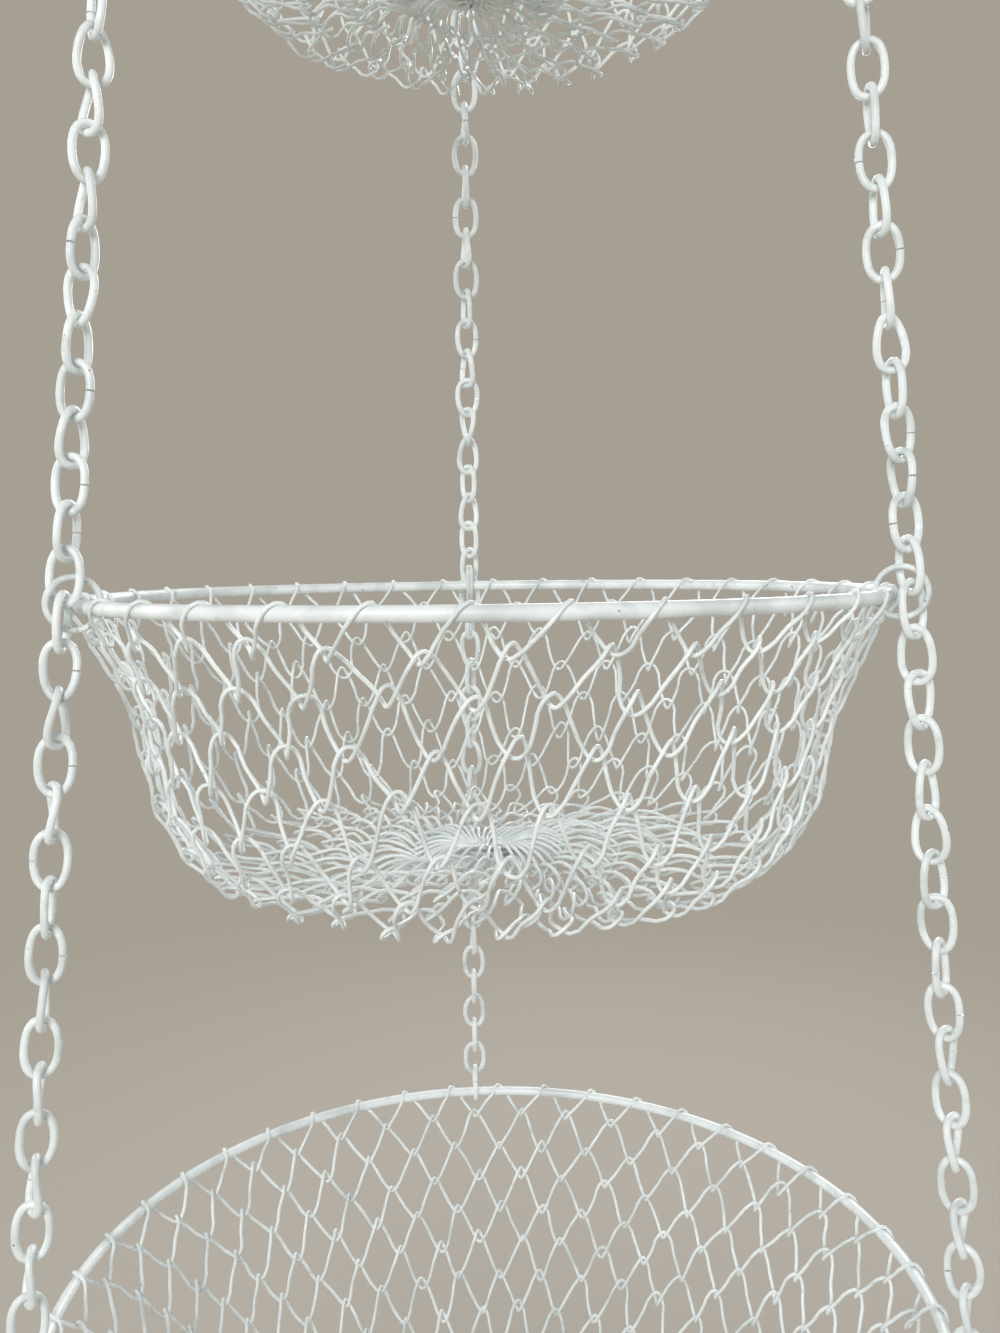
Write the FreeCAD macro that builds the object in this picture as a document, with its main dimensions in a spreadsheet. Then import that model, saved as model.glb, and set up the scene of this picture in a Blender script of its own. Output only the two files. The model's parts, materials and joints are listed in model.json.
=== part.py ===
import FreeCAD, Part
import math
import os

Vector = FreeCAD.Vector
os.makedirs("parts", exist_ok=True)
doc = FreeCAD.newDocument("HangingBasket")

# Lengths in millimetres, angles in degrees. The inside top of the S-hook's upper bend is the origin.
sizes = {
    "hookWire": 4.0,
    "hookInner": 9.0,
    "hookCentres": 33.0,
    "hookTipTurn": 25.0,
    "gatherWire": 3.0,
    "gatherRadius": 11.0,
    "gatherSpread": 35.0,
    "linkWire": 2.2,
    "linkWidth": 8.8,
    "linkPitch": 12.6,
    "linkGap": 0.3,
    "hangTurn": 30.0,
    "carrierTurn": 45.0,
    "pivotGap": 0.8,
    "seatGap": 0.3,
    "splitWire": 1.25,
    "splitOverlap": 0.08,
    "rimWire": 4.0,
    "rimClearance": 1.45,
    "carrierRise": 1.0,
    "endLinkLean": 27.0,
    "topDrop": 240.0,
    "upperDrop": 258.0,
    "lowerDrop": 248.0,
    "meshWall": 1.2,
    "strand": 1.2,
    "centreRingRadius": 7.8,
    "centreRingWire": 1.6,
    "rimRadiusTop": 101.6,
    "waistRadiusTop": 88.0,
    "hipRadiusTop": 84.0,
    "shoulderRadiusTop": 76.8,
    "floorRadiusTop": 65.6,
    "waistDepthTop": 25.4,
    "hipDepthTop": 49.6,
    "shoulderDepthTop": 62.4,
    "floorDepthTop": 68.0,
    "turnsTop": 30,
    "sideRowsTop": 7,
    "floorRowsTop": 4,
    "rimRadiusMid": 127.0,
    "waistRadiusMid": 110.0,
    "hipRadiusMid": 105.0,
    "shoulderRadiusMid": 96.0,
    "floorRadiusMid": 82.0,
    "waistDepthMid": 31.8,
    "hipDepthMid": 62.0,
    "shoulderDepthMid": 78.0,
    "floorDepthMid": 85.0,
    "turnsMid": 36,
    "sideRowsMid": 8,
    "floorRowsMid": 5,
    "rimRadiusLow": 152.4,
    "waistRadiusLow": 132.0,
    "hipRadiusLow": 126.0,
    "shoulderRadiusLow": 115.2,
    "floorRadiusLow": 98.4,
    "waistDepthLow": 38.1,
    "hipDepthLow": 74.4,
    "shoulderDepthLow": 93.6,
    "floorDepthLow": 102.0,
    "turnsLow": 42,
    "sideRowsLow": 9,
    "floorRowsLow": 6,
}

sheet = doc.addObject("Spreadsheet::Sheet", "Sizes")
for row, (name, value) in enumerate(sizes.items(), start=1):
    sheet.set("A%d" % row, name)
    sheet.set("B%d" % row, str(value))
    sheet.setAlias("B%d" % row, name)
doc.recompute()

nodes = []
azimuths = {"left": 210.0, "right": 330.0, "back": 90.0}
tierNames = ("Top", "Mid", "Low")


def size(name):
    return float(sheet.get(name))


def bind(item, prop, rule):
    item.setExpression(prop, rule)
    return item


def node(item, label):
    item.Label = label
    nodes.append(item)
    return item


def unit(vector):
    return Vector(vector).normalize()


def placed(origin, lateral, along):
    # The piece's own Z runs along, its own X lies lateral.
    across = along.cross(lateral)
    return FreeCAD.Placement(origin, FreeCAD.Rotation(unit(lateral), unit(across), unit(along), "ZXY"))


def copyOf(master, placement):
    copy = doc.addObject("App::Link", master.Name + "Copy")
    copy.LinkedObject = master
    copy.Placement = placement
    return copy


def group(copies, label):
    compound = doc.addObject("Part::Compound", label)
    compound.Links = copies
    return node(compound, label)


def torus(name, ringRule, wireRule, heightRule):
    ring = doc.addObject("Part::Torus", name)
    bind(ring, "Radius1", ringRule)
    bind(ring, "Radius2", wireRule)
    bind(ring, "Placement.Base.z", heightRule)
    return ring


# Heights of the rings and rims, counted down from the hanging point.
hookBottomRule = "-(2 * Sizes.hookInner + Sizes.hookCentres)"
gatherRule = hookBottomRule + " + Sizes.gatherWire / 2 + Sizes.seatGap - Sizes.gatherRadius"
rimRule = {"Top": gatherRule + " - Sizes.gatherRadius - Sizes.topDrop"}
rimRule["Mid"] = rimRule["Top"] + " - Sizes.upperDrop"
rimRule["Low"] = rimRule["Mid"] + " - Sizes.lowerDrop"
gatherZ = (size("gatherWire") / 2 + size("seatGap") - size("gatherRadius")
           - 2 * size("hookInner") - size("hookCentres"))
rimZ = {"Top": gatherZ - size("gatherRadius") - size("topDrop")}
rimZ["Mid"] = rimZ["Top"] - size("upperDrop")
rimZ["Low"] = rimZ["Mid"] - size("lowerDrop")


def buildHook():
    bend = size("hookInner") + size("hookWire") / 2
    upper = Vector(0, 0, -size("hookInner"))
    lower = upper - Vector(0, 0, size("hookCentres"))
    leave = -math.degrees(math.asin(2 * bend / size("hookCentres")))
    tip = 180.0 + size("hookTipTurn")

    def on(centre, angle):
        turn = math.radians(angle)
        return centre + Vector(0, math.cos(turn), math.sin(turn)) * bend

    def arc(centre, begin, end):
        return Part.Arc(on(centre, begin), on(centre, (begin + end) / 2), on(centre, end)).toShape()

    upperArc = arc(upper, tip, leave)
    shank = Part.makeLine(on(upper, leave), on(lower, leave + 180))
    lowerArc = arc(lower, leave + 180, tip + 180)
    spine = doc.addObject("Part::Feature", "HookSpine")
    spine.Shape = Part.Wire([upperArc, shank, lowerArc])
    section = bind(doc.addObject("Part::Circle", "HookSection"), "Radius", "Sizes.hookWire / 2")
    heading = upperArc.tangentAt(upperArc.FirstParameter)
    section.Placement = placed(on(upper, tip), Vector(1, 0, 0), heading)
    rod = doc.addObject("Part::Sweep", "HookRod")
    rod.Sections = [section]
    rod.Spine = (spine, ["Edge1", "Edge2", "Edge3"])
    rod.Solid = True
    tips = []
    for place in (on(upper, tip), on(lower, tip + 180)):
        ball = bind(doc.addObject("Part::Sphere", "HookTip"), "Radius", "Sizes.hookWire / 2")
        ball.Placement.Base = place
        tips.append(ball)
    hook = doc.addObject("Part::MultiFuse", "Hook")
    hook.Shapes = [rod] + tips
    node(hook, "s_hook")


def buildGatherRing():
    ring = torus("GatherRing", "Sizes.gatherRadius", "Sizes.gatherWire / 2", gatherRule)
    ring.Placement.Rotation = FreeCAD.Rotation(Vector(1, 0, 0), 90)
    node(ring, "gather_ring")


def buildLink(name, length):
    # One oval link, end wire centre to end wire centre along its own Z.
    bend = size("linkWidth") / 2
    rise = length / 2 - bend
    sides = [Vector(bend, 0, -rise), Vector(bend, 0, rise), Vector(-bend, 0, rise), Vector(-bend, 0, -rise)]
    crown = Part.Arc(sides[1], Vector(0, 0, rise + bend), sides[2]).toShape()
    foot = Part.Arc(sides[3], Vector(0, 0, -rise - bend), sides[0]).toShape()
    spine = doc.addObject("Part::Feature", name + "Spine")
    right = Part.makeLine(sides[0], sides[1])
    left = Part.makeLine(sides[2], sides[3])
    spine.Shape = Part.Wire([right, crown, left, foot])
    section = bind(doc.addObject("Part::Circle", name + "Section"), "Radius", "Sizes.linkWire / 2")
    section.Placement.Base = sides[0]
    link = doc.addObject("Part::Sweep", name)
    link.Sections = [section]
    link.Spine = (spine, ["Edge1", "Edge2", "Edge3", "Edge4"])
    link.Solid = True
    return link


plainLength = size("linkPitch") + size("linkWire") + size("linkGap")
plainLink = buildLink("PlainLink", plainLength)


def radialPoint(azimuth, out, height):
    turn = math.radians(azimuth)
    return Vector(out * math.cos(turn), out * math.sin(turn), height)


def tangent(azimuth):
    turn = math.radians(azimuth)
    return Vector(-math.sin(turn), math.cos(turn), 0)


def turned(along, side, angle):
    # A lateral direction square to the run, turned about it away from the rim's tangent.
    flat = unit(side - along * side.dot(along))
    other = along.cross(flat)
    turn = math.radians(angle)
    return flat * math.cos(turn) + other * math.sin(turn)


def carrierFoot(tier):
    # Centre of a carrier link's lower end wire, outwards of and above the rim wire's centre.
    seat = size("rimWire") / 2 + size("linkWire") / 2 + size("seatGap")
    if tier == "Low":
        lean = math.radians(size("endLinkLean"))
        reach = plainLength - seat - size("linkWire") - size("seatGap")
        return reach * math.sin(lean), reach * math.cos(lean)
    out = seat - size("seatGap") + size("rimClearance")
    return out + size("linkWidth") / 2 * math.sin(math.radians(size("hangTurn"))), size("carrierRise")


def footPoint(tier, side):
    out, up = carrierFoot(tier)
    return radialPoint(azimuths[side], size("rimRadius" + tier) + out, rimZ[tier] + up)


def hangPoint(tier, side):
    # Centre of the upper end wire of the first link that hangs on a carrier link's lower end.
    return footPoint(tier, side) + carrierAxis(tier, side) * (size("linkWire") + size("pivotGap"))


def gatherPoint(side):
    turn = math.radians({"left": -1, "right": 1, "back": 0}[side] * size("gatherSpread"))
    centre = Vector(0, 0, gatherZ)
    wire = centre + Vector(math.sin(turn), 0, -math.cos(turn)) * size("gatherRadius")
    return wire, Vector(math.cos(turn), 0, math.sin(turn))


def runStart(tier, side):
    if tier == "Top":
        wire, lie = gatherPoint(side)
        along = unit(wire - footPoint(tier, side))
        return wire + along * (size("gatherWire") / 2 + size("linkWire") / 2 + size("pivotGap"))
    return hangPoint(tierNames[tierNames.index(tier) - 1], side)


def carrierAxis(tier, side):
    return unit(runStart(tier, side) - footPoint(tier, side))


def carrierLateral(tier):
    # The lowest carrier links lie along the rim, the others are turned to let the next chain hang.
    return 0.0 if tier == "Low" else size("carrierTurn")


def buildCarriers(tier):
    copies = []
    for side, azimuth in azimuths.items():
        axis = carrierAxis(tier, side)
        centre = footPoint(tier, side) + axis * (plainLength / 2)
        lateral = turned(axis, tangent(azimuth), carrierLateral(tier))
        copies.append(copyOf(plainLink, placed(centre, lateral, axis)))
    group(copies, "carrier_links_" + tier.lower())


def buildRun(tier, side):
    # Links from the hanging wire above down to the carrier link of this tier.
    axis = carrierAxis(tier, side)
    start = runStart(tier, side)
    crown = footPoint(tier, side) + axis * plainLength
    finish = crown - axis * (size("linkWire") + size("pivotGap"))
    overlap = size("linkWire") + size("linkGap")
    span = (start - finish).Length
    count = max(2, round((span - overlap) / size("linkPitch")))
    length = (span + (count - 1) * overlap) / count
    link = buildLink("Link" + tier + side.capitalize(), length)
    rimSide = tangent(azimuths[side])
    first = -size("hangTurn")
    if tier == "Top":
        wire, lie = gatherPoint(side)
        square = axis.cross(lie)
        flat = turned(axis, rimSide, 0)
        first = math.degrees(math.atan2(square.dot(axis.cross(flat)), square.dot(flat)))
    last = carrierLateral(tier) - 90.0
    halfTurns = round(((count - 1) * 90.0 + first - last) / 180.0)
    step = (180.0 * halfTurns + last - first) / (count - 1)
    copies = []
    for index in range(count):
        centre = start - axis * (length / 2 + index * (length - overlap))
        lateral = turned(axis, rimSide, first + index * step)
        copies.append(copyOf(link, placed(centre, lateral, axis)))
    print("chain", tier, side, "links", count, "pitch", round(length - overlap, 3))
    group(copies, "chain_%s_%s" % (tier.lower(), side))


def splitRingCircle(tier):
    # Smallest circle, in the upright plane through the basket's middle line, round the rim wire, the carrier
    # link's lower end and the upper end of the link hung on it, with room left round each wire.
    axis = carrierAxis(tier, "back")
    rim = Vector(0, size("rimRadius" + tier), rimZ[tier])
    bend = size("linkWidth") / 2
    wire = size("linkWire") / 2
    ends = [(footPoint(tier, "back") - rim, size("carrierTurn"), 1)]
    ends.append((hangPoint(tier, "back") - rim, size("hangTurn"), -1))
    discs = [(0.0, 0.0, size("rimWire") / 2)]
    for end, turn, way in ends:
        turn = math.radians(turn)
        reach = min(bend, (size("splitWire") + wire) / math.cos(turn))
        for share in range(-10, 11):
            aside = reach * share / 10
            bow = way * (bend - math.sqrt(bend * bend - aside * aside))
            lean = aside * math.sin(turn)
            discs.append((end.y + lean * axis.z + bow * axis.y, end.z - lean * axis.y + bow * axis.z, wire))
    out, up = 0.0, 0.0
    for count in range(2, 4000):
        far = max(discs, key=lambda disc: math.hypot(disc[0] - out, disc[1] - up) + disc[2])
        gap = math.hypot(far[0] - out, far[1] - up)
        pull = (gap + far[2]) / gap / count
        out = out + (far[0] - out) * pull
        up = up + (far[1] - up) * pull
    inner = max(math.hypot(x - out, z - up) + radius for x, z, radius in discs)
    return out, up, inner + size("seatGap")


def buildSplitRings(tier):
    out, up, inner = splitRingCircle(tier)
    turns = []
    for sign in (-1, 1):
        coil = doc.addObject("Part::Torus", "SplitTurn" + tier)
        coil.Radius1 = inner + size("splitWire") / 2
        bind(coil, "Radius2", "Sizes.splitWire / 2")
        bind(coil, "Placement.Base.z", "%d * (Sizes.splitWire - Sizes.splitOverlap) / 2" % sign)
        turns.append(coil)
    ring = doc.addObject("Part::MultiFuse", "SplitRing" + tier)
    ring.Shapes = turns
    copies = []
    for azimuth in azimuths.values():
        centre = radialPoint(azimuth, size("rimRadius" + tier) + out, rimZ[tier] + up)
        copies.append(copyOf(ring, placed(centre, radialPoint(azimuth, 1, 0), tangent(azimuth))))
    group(copies, "split_rings_" + tier.lower())


def buildEndLinks(tier):
    # Oval links round the lowest rim, each held by a carrier link's lower end.
    lean = math.radians(size("endLinkLean"))
    seat = size("rimWire") / 2 + size("linkWire") / 2 + size("seatGap")
    copies = []
    for azimuth in azimuths.values():
        axis = radialPoint(azimuth, math.sin(lean), math.cos(lean))
        rim = radialPoint(azimuth, size("rimRadius" + tier), rimZ[tier])
        lateral = tangent(azimuth).cross(axis)
        copies.append(copyOf(plainLink, placed(rim + axis * (plainLength / 2 - seat), lateral, axis)))
    group(copies, "end_links_" + tier.lower())


def sideProfile(tier):
    top = -(size("rimWire") / 2 + size("seatGap"))
    corners = [(size("rimRadius" + tier), top)]
    for place in ("waist", "hip", "shoulder", "floor"):
        corners.append((size(place + "Radius" + tier), -size(place + "Depth" + tier)))
    return corners


def alongProfile(corners, share):
    steps = [math.dist(a, b) for a, b in zip(corners, corners[1:])]
    left = share * sum(steps)
    for (r0, z0), (r1, z1), step in zip(corners, corners[1:], steps):
        if left <= step:
            return r0 + (r1 - r0) * left / step, z0 + (z1 - z0) * left / step
        left = left - step
    return corners[-1]


def buildSide(tier):
    # Bent band of the basket's side, opened into diamonds between its crossing strands.
    corners = sideProfile(tier)
    half = size("meshWall") / 2
    outline = [Vector(r + half, 0, z) for r, z in corners]
    outline = outline + [Vector(r - half, 0, z) for r, z in corners[::-1]]
    profile = doc.addObject("Part::Polygon", "SideProfile" + tier)
    profile.Nodes = outline
    profile.Close = True
    band = doc.addObject("Part::Revolution", "SideBand" + tier)
    band.Source = profile
    band.Axis = Vector(0, 0, 1)
    band.Angle = 360
    band.Solid = True
    turns = int(size("turns" + tier))
    rows = int(size("sideRows" + tier))
    slant = sum(math.dist(a, b) for a, b in zip(corners, corners[1:]))
    margin = size("strand") / slant
    openings = []
    for line in range(rows + 1):
        middle, height = alongProfile(corners, line / rows)
        upper, top = alongProfile(corners, max(0.0, (line - 1) / rows + margin))
        lower, bottom = alongProfile(corners, min(1.0, (line + 1) / rows - margin))
        wide = math.pi * middle / turns - size("strand")
        if line == 0:
            top = 2 * height - bottom
        if line == rows:
            bottom = 2 * height - top
        inside = min(upper, middle, lower) - 2 * half
        reach = max(upper, middle, lower) + 2 * half - inside
        for index in range(turns):
            azimuth = azimuths["back"] + 360.0 * (index + 0.5 * (line % 2)) / turns
            out = radialPoint(azimuth, 1, 0)
            side = tangent(azimuth) * wide
            level = out * inside
            middle = level + Vector(0, 0, height)
            tips = [level + Vector(0, 0, top), middle + side, level + Vector(0, 0, bottom), middle - side]
            openings.append(Part.Face(Part.makePolygon(tips + tips[:1])).extrude(out * reach))
    gaps = doc.addObject("Part::Feature", "SideGaps" + tier)
    gaps.Shape = Part.makeCompound(openings)
    side = doc.addObject("Part::Cut", "Side" + tier)
    side.Base = band
    side.Tool = gaps
    bind(side, "Placement.Base.z", rimRule[tier])
    node(side, "mesh_side_" + tier.lower())


def buildFloor(tier):
    # Flat round floor with the diamonds drawn out towards its centre ring.
    edge = size("floorRadius" + tier) + size("meshWall") / 2
    hole = size("centreRingRadius") + size("centreRingWire") / 2 + size("seatGap")
    strand = size("strand")
    turns = int(size("turns" + tier))
    rows = int(size("floorRows" + tier))
    sideRows = int(size("sideRows" + tier))
    outer = edge - strand
    step = (outer - hole) / rows
    wires = [Part.Wire(Part.makeCircle(edge)), Part.Wire(Part.makeCircle(hole))]
    for line in range(rows):
        middle = outer - line * step
        wide = math.pi * middle / turns - strand
        if wide < strand / 4:
            continue
        for index in range(turns):
            azimuth = azimuths["back"] + 360.0 * (index + 0.5 * ((sideRows + line) % 2)) / turns
            out = radialPoint(azimuth, 1, 0)
            side = tangent(azimuth) * wide
            tips = [out * middle + side, out * (middle - step + strand), out * middle - side]
            if line > 0:
                tips.append(out * (middle + step - strand))
            wires.append(Part.makePolygon(tips + tips[:1]))
    sheetFace = doc.addObject("Part::Feature", "FloorFace" + tier)
    sheetFace.Shape = Part.makeFace(wires, "Part::FaceMakerBullseye")
    plate = doc.addObject("Part::Extrusion", "Floor" + tier)
    plate.Base = sheetFace
    plate.DirMode = "Custom"
    plate.Dir = Vector(0, 0, -1)
    bind(plate, "LengthFwd", "Sizes.meshWall")
    plate.Solid = True
    bind(plate, "Placement.Base.z", "%s - Sizes.floorDepth%s - Sizes.seatGap" % (rimRule[tier], tier))
    node(plate, "mesh_floor_" + tier.lower())
    centre = "%s - Sizes.floorDepth%s - Sizes.seatGap - Sizes.meshWall / 2" % (rimRule[tier], tier)
    ring = torus("CentreRing" + tier, "Sizes.centreRingRadius", "Sizes.centreRingWire / 2", centre)
    node(ring, "centre_ring_" + tier.lower())


buildHook()
buildGatherRing()
for tier in tierNames:
    rim = torus("Rim" + tier, "Sizes.rimRadius" + tier, "Sizes.rimWire / 2", rimRule[tier])
    node(rim, "rim_" + tier.lower())
    buildSide(tier)
    buildFloor(tier)
    buildCarriers(tier)
    if tier == "Low":
        buildEndLinks(tier)
    else:
        buildSplitRings(tier)
    for side in azimuths:
        buildRun(tier, side)
doc.recompute()

for item in doc.Objects:
    if "Invalid" in item.State or "Error" in item.State:
        raise RuntimeError("%s did not build: %s" % (item.Label, item.State))
for item in nodes:
    shape = item.Shape
    if shape.isNull() or not shape.isValid():
        raise RuntimeError("%s has no sound shape" % item.Label)
for item in nodes:
    item.Shape.exportStep(os.path.join("parts", item.Label + ".step"))
    print(item.Label, len(item.Shape.Solids), "solids", round(item.Shape.Volume, 1), "mm3")
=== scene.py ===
import json
import math
import random

import bpy
import numpy as np
from mathutils import Matrix, Vector


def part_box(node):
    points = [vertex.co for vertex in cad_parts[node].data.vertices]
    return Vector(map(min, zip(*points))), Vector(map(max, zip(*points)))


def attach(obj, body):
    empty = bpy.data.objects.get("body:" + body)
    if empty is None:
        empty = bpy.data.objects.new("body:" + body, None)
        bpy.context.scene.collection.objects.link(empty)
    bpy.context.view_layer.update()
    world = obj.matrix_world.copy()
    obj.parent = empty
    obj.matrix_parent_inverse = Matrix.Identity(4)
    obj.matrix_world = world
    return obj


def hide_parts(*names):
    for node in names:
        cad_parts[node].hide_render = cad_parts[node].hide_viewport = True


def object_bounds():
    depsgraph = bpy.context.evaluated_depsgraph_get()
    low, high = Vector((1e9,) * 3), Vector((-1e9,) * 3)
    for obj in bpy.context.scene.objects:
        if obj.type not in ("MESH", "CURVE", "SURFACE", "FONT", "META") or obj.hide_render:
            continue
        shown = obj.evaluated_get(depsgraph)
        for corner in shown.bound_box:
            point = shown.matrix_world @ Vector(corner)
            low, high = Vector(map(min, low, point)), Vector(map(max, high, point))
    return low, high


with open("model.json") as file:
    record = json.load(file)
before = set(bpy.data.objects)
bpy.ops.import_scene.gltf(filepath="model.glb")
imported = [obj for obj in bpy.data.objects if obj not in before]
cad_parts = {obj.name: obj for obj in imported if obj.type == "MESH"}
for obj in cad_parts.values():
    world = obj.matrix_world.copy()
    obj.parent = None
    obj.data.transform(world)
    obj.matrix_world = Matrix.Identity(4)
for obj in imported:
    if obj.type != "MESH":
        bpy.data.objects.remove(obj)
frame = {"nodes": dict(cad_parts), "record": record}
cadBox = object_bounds()
mm = 0.001
tierNames = ["top", "mid", "low"]
sideNames = ["left", "right", "back"]


# shader helpers

# sockets whose names repeat go by number, and these are a Mix node's for colours
mixShare, mixUnder, mixOver, mixColour = 0, 6, 7, 2


def linear(hexColour):
    # sRGB hex to the linear values that shader sockets take
    shares = [int(hexColour[i:i + 2], 16) / 255 for i in (1, 3, 5)]
    flat = [c / 12.92 if c <= 0.04045 else ((c + 0.055) / 1.055) ** 2.4 for c in shares]
    return (*flat, 1.0)


def grey(level):
    return (level, level, level, 1.0)


def addNode(tree, kind, settings=None, links=None):
    # one node: settings go to sockets or properties by name, a colour ramp's stops are its two
    # places and two colours, and links are socket: (node, output)
    made = tree.nodes.new(kind)
    for name, value in (settings or {}).items():
        if name == "stops":
            for stop, place, colour in zip(made.color_ramp.elements, *value):
                stop.position = place
                stop.color = colour
        elif isinstance(name, int) or name in made.inputs:
            made.inputs[name].default_value = value
        else:
            setattr(made, name, value)
    for socket, (source, output) in (links or {}).items():
        tree.links.new(source.outputs[output], made.inputs[socket])
    return made


def newMaterial(name):
    made = bpy.data.materials.new(name)
    made.use_nodes = True
    made.node_tree.nodes.clear()
    return made, made.node_tree


def perMetre(sizeMm):
    # noise scale that makes features of this many millimetres
    return 1.0 / (sizeMm * mm)


# white enamel dipped over drawn steel wire: an even, softly shining skin, greyer where it is
# thin or rubbed, with a few chips that show dark steel. Sizes and heights are in millimetres, and
# a range gives the noise levels between which a finish goes from none to all of its cover.
enamelLook = {
    "white": "#EBF1F0", "thin": "#D2DAD8", "mottleSize": 14.0, "mottleRange": (0.32, 0.56),
    "grime": "#A7ACA2", "grimeSize": 5.0, "grimeRange": (0.58, 0.80), "grimeCover": 0.55,
    "steel": "#6A655B", "chipSize": 1.7, "chipRange": (0.745, 0.775), "chipCover": 0.9,
    "peelSize": 0.9, "peelHeight": 0.2, "peelStrength": 0.10,
    "smooth": 0.30, "rubbed": 0.50, "rubbedRange": (0.35, 0.70), "ior": 1.52,
}


def enamelledWire():
    look = enamelLook
    material, tree = newMaterial("enamelledWire")
    place = addNode(tree, "ShaderNodeTexCoord")
    at = {"Vector": (place, "Object")}
    mottle = addNode(tree, "ShaderNodeTexNoise",
                     {"Scale": perMetre(look["mottleSize"]), "Detail": 3.0}, at)
    skin = addNode(tree, "ShaderNodeValToRGB",
                   {"stops": (look["mottleRange"], (linear(look["thin"]), linear(look["white"])))},
                   {"Fac": (mottle, "Fac")})
    dirt = addNode(tree, "ShaderNodeTexNoise",
                   {"Scale": perMetre(look["grimeSize"]), "Detail": 6.0}, at)
    dirtShare = addNode(tree, "ShaderNodeValToRGB",
                        {"stops": (look["grimeRange"], (grey(0.0), grey(look["grimeCover"])))},
                        {"Fac": (dirt, "Fac")})
    grimed = addNode(tree, "ShaderNodeMix", {"data_type": "RGBA", mixOver: linear(look["grime"])},
                     {mixShare: (dirtShare, "Color"), mixUnder: (skin, "Color")})
    chip = addNode(tree, "ShaderNodeTexNoise",
                   {"Scale": perMetre(look["chipSize"]), "Detail": 2.0}, at)
    chipShare = addNode(tree, "ShaderNodeValToRGB",
                        {"stops": (look["chipRange"], (grey(0.0), grey(look["chipCover"])))},
                        {"Fac": (chip, "Fac")})
    chipped = addNode(tree, "ShaderNodeMix", {"data_type": "RGBA", mixOver: linear(look["steel"])},
                      {mixShare: (chipShare, "Color"), mixUnder: (grimed, mixColour)})
    cleanest, dirtiest = look["rubbedRange"]
    rough = addNode(tree, "ShaderNodeMapRange",
                    {"From Min": cleanest, "From Max": dirtiest,
                     "To Min": look["smooth"], "To Max": look["rubbed"]},
                    {"Value": (dirt, "Fac")})
    peel = addNode(tree, "ShaderNodeTexNoise",
                   {"Scale": perMetre(look["peelSize"]), "Detail": 2.0}, at)
    bump = addNode(tree, "ShaderNodeBump",
                   {"Strength": look["peelStrength"], "Distance": look["peelHeight"] * mm},
                   {"Height": (peel, "Fac")})
    shader = addNode(tree, "ShaderNodeBsdfPrincipled", {"IOR": look["ior"]},
                     {"Base Color": (chipped, mixColour), "Roughness": (rough, "Result"),
                      "Normal": (bump, "Normal")})
    addNode(tree, "ShaderNodeOutputMaterial", links={"Surface": (shader, "BSDF")})
    return material


# white paint brushed over zinc-plated spring wire, greyed by painted shade: a greyer white than
# the enamel that goes at random down to a painted-shade grey, with dull silver where the paint is
# rubbed off
paintLook = {
    # the grey next to the paint's white is painted shade, mixed in at random over the paint
    "paint": "#E4EAE8", "paintedShade": "#CDD5D2", "shadeAndGlossSize": 4.0, "shadeAndGlossRange": (0.35, 0.60),
    "zinc": "#9AA09E", "rubSize": 1.6, "rubRange": (0.62, 0.72), "rubCover": 0.8,
    "speckSize": 0.5, "speckHeight": 0.1, "speckStrength": 0.08,
    "smooth": 0.34, "rubbed": 0.48, "ior": 1.5,
}


def paintedZincWire():
    look = paintLook
    material, tree = newMaterial("paintedZincWire")
    place = addNode(tree, "ShaderNodeTexCoord")
    at = {"Vector": (place, "Object")}
    shadeAndGloss = addNode(tree, "ShaderNodeTexNoise",
                    {"Scale": perMetre(look["shadeAndGlossSize"]), "Detail": 4.0}, at)
    # painted shade: noise mixes the paint's white with the grey painted shade; the same noise sets
    # the roughness
    paintAndShade = addNode(tree, "ShaderNodeValToRGB",
                   {"stops": (look["shadeAndGlossRange"], (linear(look["paintedShade"]), linear(look["paint"])))},
                   {"Fac": (shadeAndGloss, "Fac")})
    rub = addNode(tree, "ShaderNodeTexNoise",
                  {"Scale": perMetre(look["rubSize"]), "Detail": 3.0}, at)
    rubShare = addNode(tree, "ShaderNodeValToRGB",
                       {"stops": (look["rubRange"], (grey(0.0), grey(look["rubCover"])))},
                       {"Fac": (rub, "Fac")})
    wornAndShaded = addNode(tree, "ShaderNodeMix", {"data_type": "RGBA", mixOver: linear(look["zinc"])},
                   {mixShare: (rubShare, "Color"), mixUnder: (paintAndShade, "Color")})
    rough = addNode(tree, "ShaderNodeMapRange",
                    {"To Min": look["rubbed"], "To Max": look["smooth"]},
                    {"Value": (shadeAndGloss, "Fac")})
    speck = addNode(tree, "ShaderNodeTexNoise", {"Scale": perMetre(look["speckSize"])}, at)
    bump = addNode(tree, "ShaderNodeBump",
                   {"Strength": look["speckStrength"], "Distance": look["speckHeight"] * mm},
                   {"Height": (speck, "Fac")})
    shader = addNode(tree, "ShaderNodeBsdfPrincipled", {"IOR": look["ior"]},
                     {"Base Color": (wornAndShaded, mixColour), "Metallic": (rubShare, "Color"),
                      "Roughness": (rough, "Result"), "Normal": (bump, "Normal")})
    addNode(tree, "ShaderNodeOutputMaterial", links={"Surface": (shader, "BSDF")})
    return material


enamel = enamelledWire()
paintedZinc = paintedZincWire()
print("materials: enamelled wire, painted zinc wire")


# wire pieces: strands are lists of points in metres, bent smoothly and given a round section. A
# strand whose last point is its first one again is closed.

stepsPerPoint = 3


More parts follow.
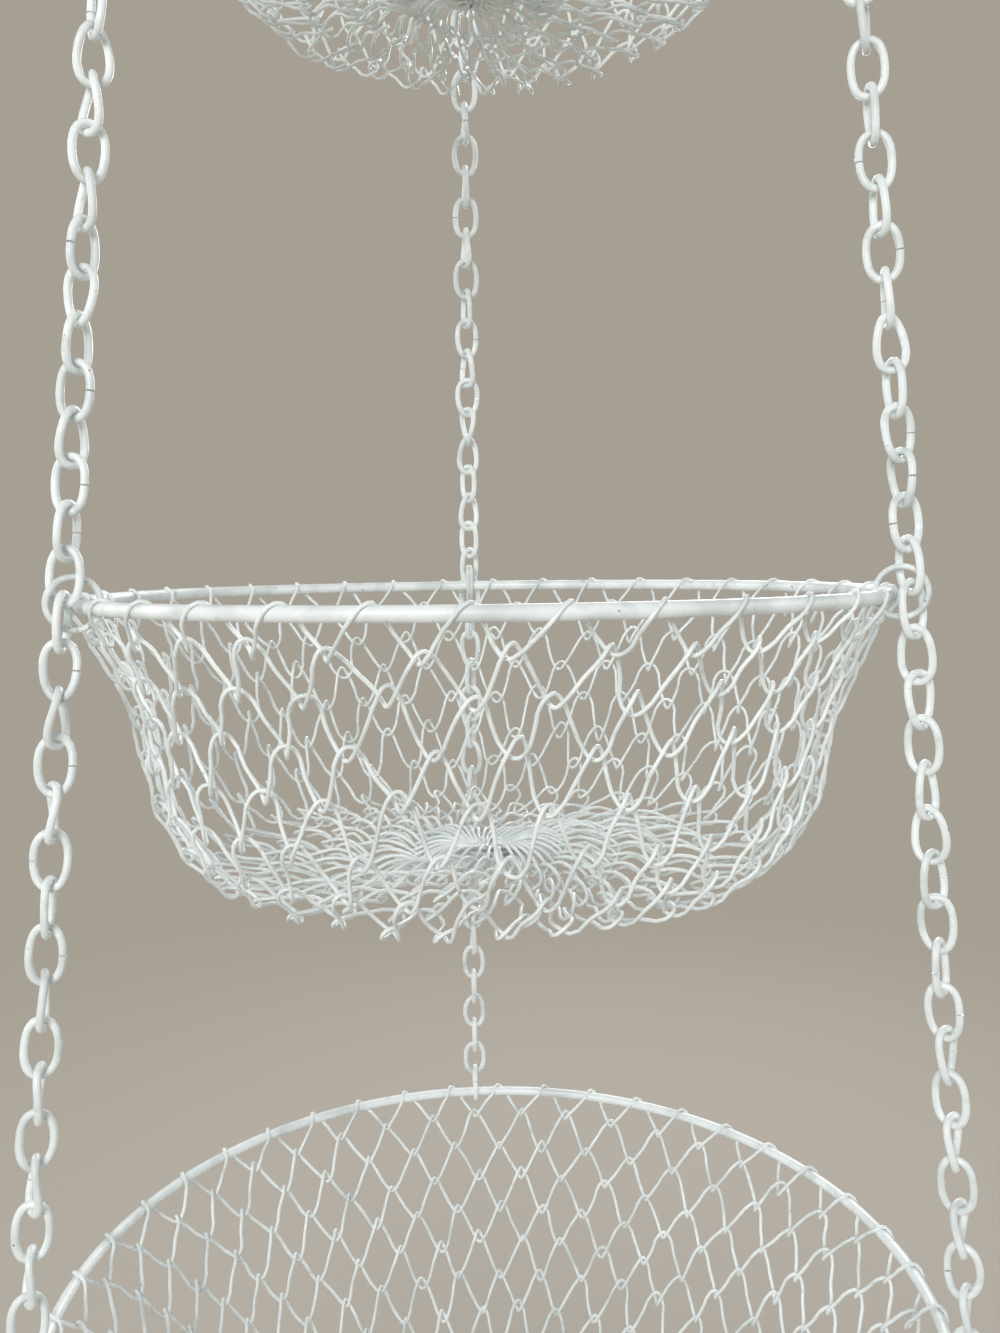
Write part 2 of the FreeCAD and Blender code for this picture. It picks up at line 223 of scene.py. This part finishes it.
def wirePiece(name, strands, wire, roundness, material):
    curve = bpy.data.curves.new(name, "CURVE")
    curve.dimensions = "3D"
    curve.bevel_depth = wire * mm / 2
    curve.bevel_resolution = roundness
    curve.resolution_u = stepsPerPoint
    curve.use_fill_caps = True
    for points in strands:
        closed = points[0] == points[-1]
        points = points[:-1] if closed else points
        spline = curve.splines.new("BEZIER")
        spline.bezier_points.add(len(points) - 1)
        for knot, point in zip(spline.bezier_points, points):
            knot.co = point
            knot.handle_left_type = "AUTO"
            knot.handle_right_type = "AUTO"
        spline.use_cyclic_u = closed
    holder = bpy.data.objects.new(name + "Curve", curve)
    bpy.context.scene.collection.objects.link(holder)
    bpy.context.view_layer.update()
    bent = holder.evaluated_get(bpy.context.evaluated_depsgraph_get())
    mesh = bpy.data.meshes.new_from_object(bent)
    bpy.data.objects.remove(holder)
    mesh.name = name
    mesh.materials.clear()
    mesh.materials.append(material)
    mesh.polygons.foreach_set("use_smooth", [True] * len(mesh.polygons))
    piece = bpy.data.objects.new(name, mesh)
    bpy.context.scene.collection.objects.link(piece)
    return piece


bodyNodes = frame["record"]["behaviour"]["bodies"]
bodyOf = {node: body for body, nodes in bodyNodes.items() for node in nodes}


def standIn(piece, node):
    # the piece takes the CAD node's place, on the same body
    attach(piece, bodyOf[node])
    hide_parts(node)


# solids of a CAD node, each with its middle and its long, wide and thin directions

def looseSolids(node):
    # corners that agree to a micrometre are one, and edges join them to solids
    mesh = frame["nodes"][node].data
    places = np.empty(len(mesh.vertices) * 3)
    mesh.vertices.foreach_get("co", places)
    spots, spotOf = np.unique(places.reshape(-1, 3).round(6), axis=0, return_inverse=True)
    ends = np.empty(len(mesh.edges) * 2, int)
    mesh.edges.foreach_get("vertices", ends)
    one, other = spotOf.ravel()[ends].reshape(-1, 2).T
    group = np.arange(len(spots))
    while True:
        lowest = np.minimum(group[one], group[other])
        merged = group.copy()
        np.minimum.at(merged, one, lowest)
        np.minimum.at(merged, other, lowest)
        merged = merged[merged]
        if (merged == group).all():
            break
        group = merged
    return [spots[group == label] for label in np.unique(group)]


def lie(spots):
    axes = np.linalg.eigh(np.cov((spots - spots.mean(0)).T))[1][:, ::-1].T
    reach = spots @ axes.T
    low, high = reach.min(0), reach.max(0)
    middle = axes.T @ ((low + high) / 2)
    return Vector(middle), [Vector(axis) for axis in axes], (high - low) / 2


# chain: bent oval links, each a little twisted, with the butt joint of its wire on one side
linkForm = {
    "wire": 2.2, "roundness": 3, "squareness": 2.35, "points": 22, "twist": 24.0, "turn": 13.0,
    "gap": 0.22, "openShare": 0.3,   # butt joints that show, the rest are filled by the enamel
    "jointTwist": 0.15,   # links at a joint hang truer than the others
    "carrierSeed": 40, "endSeed": 50,
}


def linkStrand(spots, chance, loose):
    form = linkForm
    middle, axes, half = lie(spots)
    along, wide = axes[:2]
    if along.z > 0:
        along = -along
    thin = along.cross(wide)
    radius = form["wire"] * mm / 2
    longHalf, wideHalf = half[0] - radius, half[1] - radius
    twist = math.radians(chance.uniform(-1, 1) * form["twist"] * loose)
    turn = math.radians(chance.uniform(-1, 1) * form["turn"] * loose)
    side = chance.choice((0.0, math.pi))
    opening = form["gap"] * mm / 2 / longHalf if chance.random() < form["openShare"] else 0.0
    power = 2.0 / form["squareness"]
    points = []
    for step in range(form["points"] + 1):
        angle = side + opening + step / form["points"] * (2 * math.pi - 2 * opening)
        x = wideHalf * math.copysign(abs(math.cos(angle)) ** power, math.cos(angle))
        y = longHalf * math.copysign(abs(math.sin(angle)) ** power, math.sin(angle))
        swing = turn + twist * y / longHalf
        points.append(middle + along * y + (wide * math.cos(swing) + thin * math.sin(swing)) * x)
    if not opening:
        points[-1] = points[0]
    return points


def dressLinks(node, name, seed):
    # a node has either a whole run of links or one single link for each chain
    chance = random.Random(seed)
    solids = looseSolids(node)
    heights = [spots[:, 2].mean() for spots in solids]
    endHeights = (min(heights), max(heights))
    strands = []
    for spots, height in zip(solids, heights):
        atJoint = len(solids) == len(sideNames) or height in endHeights
        strands.append(linkStrand(spots, chance, linkForm["jointTwist"] if atJoint else 1.0))
    piece = wirePiece(name, strands, linkForm["wire"], linkForm["roundness"], enamel)
    standIn(piece, node)
    return len(strands)


linkCount = 0
for tierIndex, tier in enumerate(tierNames):
    for sideIndex, side in enumerate(sideNames):
        run = "%s_%s" % (tier, side)
        linkCount += dressLinks("chain_" + run, "linkRun_" + run, 10 * tierIndex + sideIndex)
    carrierSeed = linkForm["carrierSeed"] + tierIndex
    linkCount += dressLinks("carrier_links_" + tier, "carrierLinks_" + tier, carrierSeed)
linkCount += dressLinks("end_links_low", "endLinks_low", linkForm["endSeed"])
print("chain links:", linkCount)


# split rings: two turns of spring wire wound on the CAD ring's circle
splitForm = {
    "cadWire": 1.25, "wire": 1.6, "roundness": 3, "apart": 1.42, "crossing": 70.0,
    "turns": 2, "pointsPerTurn": 24,
    "aside": 0.15,   # along the rim, away from the link that hangs beside the ring
}


def splitStrand(spots):
    form = splitForm
    middle, (first, second, axis), half = lie(spots)
    if middle.cross(axis).z < 0:
        axis = -axis
    middle += axis * form["aside"] * mm
    reach = half[0] - form["cadWire"] * mm / 2
    halfway = form["turns"] * math.pi
    points = []
    for step in range(form["turns"] * form["pointsPerTurn"] + 1):
        angle = 2 * math.pi * step / form["pointsPerTurn"]
        crossed = (angle - halfway) / math.radians(form["crossing"])
        lift = max(-0.5, min(0.5, crossed)) * form["apart"] * mm
        spoke = first * math.cos(angle) + second * math.sin(angle)
        points.append(middle + spoke * reach + axis * lift)
    return points


for tier in tierNames[:2]:
    node = "split_rings_" + tier
    coils = [splitStrand(spots) for spots in looseSolids(node)]
    rings = wirePiece("splitRings_" + tier, coils, splitForm["wire"], splitForm["roundness"],
                      paintedZinc)
    standIn(rings, node)
print("split rings: two turns each")


# mesh baskets: every row is a flattened coil of wire hooked into the row above, the first one
# wound round the rim and the last one gathered on the centre ring
meshForm = {
    "wire": {"top": 1.15, "mid": 1.15, "low": 1.4}, "roundness": 1, "seed": 70,
    "turns": {"top": 30, "mid": 36, "low": 42}, "rows": {"top": 10, "mid": 12, "low": 14},
    "legLength": 16.5, "firstRow": 0.80, "depth": 1.6, "bendTall": 2.0, "bendShare": 0.30,
    "bendWide": {"top": 1.9, "mid": 1.95, "low": 1.6}, "bendSpread": (0.8, 1.4),
    "hookOverlap": {"top": 1.6, "mid": 1.75, "low": 1.2},
    "slackHooks": 0.10, "slackOverlap": 2.2,   # a few hooks have slid apart
    "rimWire": 4.0, "rimGap": 0.15, "wrapWide": 1.6, "wrapBelow": 0.6, "wrapSlant": 3.2,
    "ringWire": 1.6, "ringGap": 0.1, "gatherReach": 4.6, "gatherLayer": 1.25, "stepsDown": 12,
}
# handling has pulled the loops this far out of line, in millimetres. Along the row they keep to
# a share of the loops' pitch, and near the floor's edge they droop outwards
strayForm = {
    "along": 1.4, "down": 1.1, "out": 0.5, "slip": 1.2, "overlap": 0.7, "leg": 0.45,
    "pitchShare": 0.13, "droop": 2.4, "droopWithin": 20.0,
    "share": {"top": 0.9, "mid": 1.0, "low": 0.75},
}
# the floor sags, turns towards its middle and lies in a few soft folds. Its crowded loops bow up
# between the hooks and stray less towards the middle
floorForm = {
    "sag": 1.75, "swirl": 38.0, "folds": 3, "foldHeight": 3.0, "foldTurn": 40.0,
    "legBow": 2.6, "bowGrowth": 3.0, "calm": 0.7,
}
# outline of a basket's side, as shares of its rim radius and of its depth
sideOutline = [(1.0, 0.0), (0.884, 0.374), (0.835, 0.729), (0.757, 0.918)]


def basketSheet(tier):
    # radius and height from the rim's wire down the side and in to the centre ring, with the
    # distance along that line at each point and at the floor's edge
    low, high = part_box("rim_" + tier)
    rimRadius = (high.x - low.x) / 2 - meshForm["rimWire"] * mm / 2
    rimHeight = (low.z + high.z) / 2
    floorLow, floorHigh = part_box("mesh_floor_" + tier)
    ringLow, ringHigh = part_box("centre_ring_" + tier)
    floorHeight = (floorLow.z + floorHigh.z) / 2
    depth = rimHeight - floorHeight
    ringRadius = (ringHigh.x - ringLow.x) / 2 - meshForm["ringWire"] * mm / 2
    halfIn = (floorHigh.x + ringRadius) / 2
    corners = [Vector((rimRadius * r, rimHeight - depth * z)) for r, z in sideOutline]
    corners.append(Vector((floorHigh.x, floorHeight)))
    corners.append(Vector((halfIn, floorHeight - floorForm["sag"] * mm)))
    corners.append(Vector((ringRadius, (ringLow.z + ringHigh.z) / 2)))
    before = [corners[0] * 2 - corners[1]] + corners[:-1]
    after = corners[1:] + [corners[-1] * 2 - corners[-2]]
    points = [corners[0]]
    for index in range(len(corners) - 1):
        a, b = corners[index], corners[index + 1]
        leave = (b - before[index]) / 2
        arrive = (after[index + 1] - a) / 2
        for step in range(1, meshForm["stepsDown"] + 1):
            t = step / meshForm["stepsDown"]
            points.append(a * (2 * t**3 - 3 * t**2 + 1) + leave * (t**3 - 2 * t**2 + t)
                          + b * (3 * t**2 - 2 * t**3) + arrive * (t**3 - t**2))
    reach = [0.0]
    for a, b in zip(points, points[1:]):
        reach.append(reach[-1] + (b - a).length)
    floorEdge = reach[len(sideOutline) * meshForm["stepsDown"]]
    return {"reach": np.array(reach), "radius": np.array([p.x for p in points]),
            "height": np.array([p.y for p in points]), "end": reach[-1], "floorEdge": floorEdge}


def onLine(sheet, length):
    return Vector((np.interp(length, sheet["reach"], sheet["radius"]),
                   np.interp(length, sheet["reach"], sheet["height"])))


def floorShare(sheet, length):
    # 0 on the side and at the floor's edge, 1 at the centre ring
    return max(0.0, (length - sheet["floorEdge"]) / (sheet["end"] - sheet["floorEdge"]))


def placeOn(sheet, length, azimuth, out):
    # point on the basket's sheet: length down from the rim, azimuth in radians, out from the sheet
    probe = 0.5 * mm
    inside = min(max(length, 0.0), sheet["end"])
    slope = onLine(sheet, inside + probe) - onLine(sheet, inside - probe)
    slope.normalize()
    r, z = onLine(sheet, inside) + slope * (length - inside) + Vector((-slope.y, slope.x)) * out
    inward = floorShare(sheet, inside)
    azimuth += math.radians(floorForm["swirl"]) * inward**2
    fold = math.sin(floorForm["folds"] * azimuth + math.radians(floorForm["foldTurn"]))
    z += floorForm["foldHeight"] * mm * 4 * inward * (1 - inward) * fold
    return Vector((r * math.cos(azimuth), r * math.sin(azimuth), z))


def hookLevels(sheet, turns, rows):
    # every loop has the same length of wire, so rows grow taller where the loops crowd together
    heights = [0.0]
    for row in range(rows):
        halfPitch = math.pi * onLine(sheet, heights[-1]).x / turns
        height = math.sqrt((meshForm["legLength"] * mm)**2 - halfPitch**2)
        heights.append(heights[-1] + height * (meshForm["firstRow"] if row == 0 else 1.0))
    return [h * sheet["end"] / heights[-1] for h in heights]


def bend(tier, sheet, hook, way, end, layer, chance):
    # three points of a hook: way -1 is the crest of a row, 1 its trough. The wire comes up on the
    # outside, crosses over the crest to the inside, and comes back out through the trough.
    form = meshForm
    wire = form["wire"][tier]
    azimuth, length, out, slip = hook
    radius = onLine(sheet, length).x
    azimuth -= way * slip / 2 / radius
    pitch = 2 * math.pi * radius / form["turns"][tier]
    spread = chance.uniform(*form["bendSpread"])
    wide = min(form["bendWide"][tier] * spread * mm, form["bendShare"] * pitch)
    tall = form["bendTall"] * mm
    depth = form["depth"] * mm
    slack = form["slackOverlap"] if chance.random() < form["slackHooks"] else 0.0
    stray = strayForm["overlap"] * strayForm["share"][tier] * chance.uniform(-1, 1)
    over = (form["hookOverlap"][tier] + stray + slack) * mm
    lean = tip = 0.0
    if end == "rim":
        depth = over = ((form["rimWire"] + wire) / 2 + form["rimGap"]) * mm
        wide = form["wrapWide"] * mm
        tall = over + form["wrapBelow"] * mm
        lean = form["wrapSlant"] / 2 * mm
    if end == "ring":
        depth = ((form["ringWire"] + wire) / 2 + form["ringGap"]) * mm
        over = tall = form["gatherReach"] * mm
        tip = layer * form["gatherLayer"] * mm
    level = length + way * (over - tall)
    first = placeOn(sheet, level, azimuth - (wide + lean) / radius, out - way * depth)
    middle = placeOn(sheet, length + way * over, azimuth + lean / 2 / radius, out + tip)
    last = placeOn(sheet, level, azimuth + (wide + lean / 2) / radius, out + way * depth)
    return [first, middle, last]


def meshRows(tier, seed):
    stray = strayForm
    chance = random.Random(seed)
    sheet = basketSheet(tier)
    turns, rows = meshForm["turns"][tier], meshForm["rows"][tier]
    levels = hookLevels(sheet, turns, rows)
    pitchAngle = 2 * math.pi / turns

    # where the rows hook into each other: azimuth, length down, out from the sheet, slip along it
    hooks = []
    for level, length in enumerate(levels):
        radius = onLine(sheet, length).x
        loose = 0.0 if level in (0, rows) else stray["share"][tier]
        loose *= 1 - floorForm["calm"] * floorShare(sheet, length)
        room = stray["pitchShare"] * pitchAngle * radius
        fromEdge = abs(length - sheet["floorEdge"])
        nearEdge = max(0.0, 1.0 - fromEdge / (stray["droopWithin"] * mm))
        ring = []
        for turn in range(turns):
            even = math.pi / 2 + pitchAngle * (turn + 0.5 + 0.5 * (level % 2))
            along = loose * chance.uniform(-1, 1) * min(stray["along"] * mm, room)
            down = loose * chance.uniform(-1, 1) * stray["down"] * mm
            droop = nearEdge * chance.random() * stray["droop"]
            out = loose * (chance.uniform(-1, 1) * stray["out"] + droop) * mm
            slip = loose * chance.uniform(-1, 1) * min(stray["slip"] * mm, room)
            ring.append((even + along / radius, length + down, out, slip))
        hooks.append(ring)

    strands = []
    for row in range(rows):
        shift = row % 2
        crestEnd = "rim" if row == 0 else ""
        troughEnd = "ring" if row == rows - 1 else ""
        inward = floorShare(sheet, (levels[row] + levels[row + 1]) / 2)
        rise = min(1.0, floorForm["bowGrowth"] * inward)
        bow = Vector((0, 0, floorForm["legBow"] * mm * rise))
        bends = []
        for turn in range(turns):
            crest, trough = hooks[row][turn], hooks[row + 1][(turn + shift) % turns]
            layer = turn % 3 - 1   # three layers on the centre ring
            bends.append(bend(tier, sheet, crest, -1, crestEnd, 0, chance))
            bends.append(bend(tier, sheet, trough, 1, troughEnd, layer, chance))
        points = []
        for here, after in zip(bends, bends[1:] + bends[:1]):
            drift = Vector([chance.uniform(-1, 1) * stray["leg"] * mm for axis in range(3)])
            drift *= 1 - floorForm["calm"] * inward
            points += here + [(here[2] + after[0]) / 2 + drift + bow]
        strands.append(points + points[:1])
    sideRows = sum(1 for a, b in zip(levels, levels[1:]) if (a + b) / 2 < sheet["floorEdge"])
    return strands[:sideRows], strands[sideRows:]


loopCount = 0
for tierIndex, tier in enumerate(tierNames):
    sideAndFloor = meshRows(tier, meshForm["seed"] + tierIndex)
    for part, rows in zip(("Side", "Floor"), sideAndFloor):
        loopCount += len(rows) * meshForm["turns"][tier]
        piece = wirePiece("coilRows%s_%s" % (part, tier), rows, meshForm["wire"][tier],
                          meshForm["roundness"], enamel)
        standIn(piece, "mesh_%s_%s" % (part.lower(), tier))
print("mesh loops:", loopCount)


# pieces that keep their CAD shape
cadShaped = ["s_hook", "gather_ring"]
for tier in tierNames:
    cadShaped += ["rim_" + tier, "centre_ring_" + tier]
for node in cadShaped:
    mesh = frame["nodes"][node].data
    mesh.materials.clear()
    mesh.materials.append(enamel)
print("rims, rings and hook enamelled")


# floor and light: far from the object the floor turns into the colour of the air behind it
stageForm = {
    "floorDrop": 90.0, "floorSize": 12000.0, "floor": "#B0A99E", "floorRough": 0.8,
    "plainWithin": 250.0, "airBeyond": 1100.0, "air": "#A69F94",
    "airLight": "#F4F6F8", "airStrength": 0.30,
}


def paleFloor():
    form = stageForm
    material, tree = newMaterial("paleFloor")
    place = addNode(tree, "ShaderNodeTexCoord")
    away = addNode(tree, "ShaderNodeVectorMath", {"operation": "LENGTH"},
                   {"Vector": (place, "Object")})
    fade = addNode(tree, "ShaderNodeMapRange",
                   {"interpolation_type": "SMOOTHSTEP", "From Min": form["plainWithin"] * mm,
                    "From Max": form["airBeyond"] * mm}, {"Value": (away, "Value")})
    path = addNode(tree, "ShaderNodeLightPath")
    seen = addNode(tree, "ShaderNodeMath", {"operation": "MAXIMUM"},
                   {0: (path, "Is Camera Ray"), 1: (path, "Is Glossy Ray")})
    share = addNode(tree, "ShaderNodeMath", {"operation": "MULTIPLY"},
                    {0: (fade, "Result"), 1: (seen, "Value")})
    near = addNode(tree, "ShaderNodeBsdfPrincipled",
                   {"Base Color": linear(form["floor"]), "Roughness": form["floorRough"]})
    far = addNode(tree, "ShaderNodeEmission", {"Color": linear(form["air"]), "Strength": 1.0})
    mixed = addNode(tree, "ShaderNodeMixShader", links={
        "Fac": (share, "Value"), 1: (near, "BSDF"), 2: (far, "Emission")})
    # seen from below, the floor is clear
    facing = addNode(tree, "ShaderNodeNewGeometry")
    clear = addNode(tree, "ShaderNodeBsdfTransparent")
    oneSided = addNode(tree, "ShaderNodeMixShader", links={
        "Fac": (facing, "Backfacing"), 1: (mixed, "Shader"), 2: (clear, "BSDF")})
    addNode(tree, "ShaderNodeOutputMaterial", links={"Surface": (oneSided, "Shader")})
    return material


half = stageForm["floorSize"] * mm / 2
floorCorners = [(-half, -half, 0), (half, -half, 0), (half, half, 0), (-half, half, 0)]
floorMesh = bpy.data.meshes.new("floor")
floorMesh.from_pydata(floorCorners, [], [(0, 1, 2, 3)])
floorMesh.materials.append(paleFloor())
floor = bpy.data.objects.new("floor", floorMesh)
floor.location.z = cadBox[0].z - stageForm["floorDrop"] * mm
bpy.context.scene.collection.objects.link(floor)

world = bpy.data.worlds.new("studioAir")
bpy.context.scene.world = world
world.use_nodes = True
airTree = world.node_tree
airTree.nodes.clear()
path = addNode(airTree, "ShaderNodeLightPath")
seen = addNode(airTree, "ShaderNodeMath", {"operation": "MAXIMUM"},
               {0: (path, "Is Camera Ray"), 1: (path, "Is Glossy Ray")})
lit = addNode(airTree, "ShaderNodeBackground",
              {"Color": linear(stageForm["airLight"]), "Strength": stageForm["airStrength"]})
shown = addNode(airTree, "ShaderNodeBackground",
                {"Color": linear(stageForm["air"]), "Strength": 1.0})
mixed = addNode(airTree, "ShaderNodeMixShader", links={
    "Fac": (seen, "Value"), 1: (lit, "Background"), 2: (shown, "Background")})
addNode(airTree, "ShaderNodeOutputWorld", links={"Surface": (mixed, "Shader")})

# places and sizes in metres
lamps = {
    "keyLamp": {"place": (-0.55, -1.6, -0.05), "size": 0.8, "watts": 22.0},
    "rightLamp": {"place": (1.6, -0.4, -0.1), "size": 1.2, "watts": 8.0},
    "leftLamp": {"place": (-1.6, 0.5, -0.1), "size": 1.2, "watts": 10.5},
    "backLamp": {"place": (0.5, 1.6, 0.1), "size": 1.0, "watts": 21.0},
}
target = (cadBox[0] + cadBox[1]) / 2
for name, form in lamps.items():
    lamp = bpy.data.lights.new(name, "AREA")
    lamp.energy = form["watts"]
    lamp.size = form["size"]
    holder = bpy.data.objects.new(name, lamp)
    holder.location = form["place"]
    holder.rotation_euler = (target - holder.location).to_track_quat("-Z", "Y").to_euler()
    bpy.context.scene.collection.objects.link(holder)
print("floor and lamps placed")


# camera at the photograph's angle: millimetres from the middle of the middle rim, and degrees
photoShot = {
    "imageHigh": 1333, "focalPixels": 1110, "sensor": 36.0, "nearest": 10.0,
    "sideways": 12.6, "distance": 369.4, "above": 11.9,
    "pitch": 5.56, "roll": -0.7, "yaw": 1.23, "turn": -4.94,
}


def photoCamera():
    shot = photoShot
    low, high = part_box("rim_mid")
    aim = (low + high) / 2
    spot = Vector((shot["sideways"], -shot["distance"], shot["above"])) * mm
    lens = bpy.data.cameras.new("photoCamera")
    lens.sensor_width = shot["sensor"]
    lens.lens = shot["sensor"] * shot["focalPixels"] / shot["imageHigh"]
    lens.clip_start = shot["nearest"] * mm
    camera = bpy.data.objects.new("photoCamera", lens)
    turn = Matrix.Rotation(math.radians(shot["turn"]), 4, "Z")
    yaw = Matrix.Rotation(math.radians(shot["yaw"]), 4, "Z")
    pitch = Matrix.Rotation(math.radians(90 - shot["pitch"]), 4, "X")
    roll = Matrix.Rotation(math.radians(shot["roll"]), 4, "Z")
    stand = Matrix.Translation(aim) @ turn @ Matrix.Translation(spot)
    camera.matrix_world = stand @ yaw @ pitch @ roll
    bpy.context.scene.collection.objects.link(camera)
    return camera


bpy.context.scene.camera = photoCamera()
bpy.context.scene.view_settings.view_transform = "Standard"
print("camera placed")
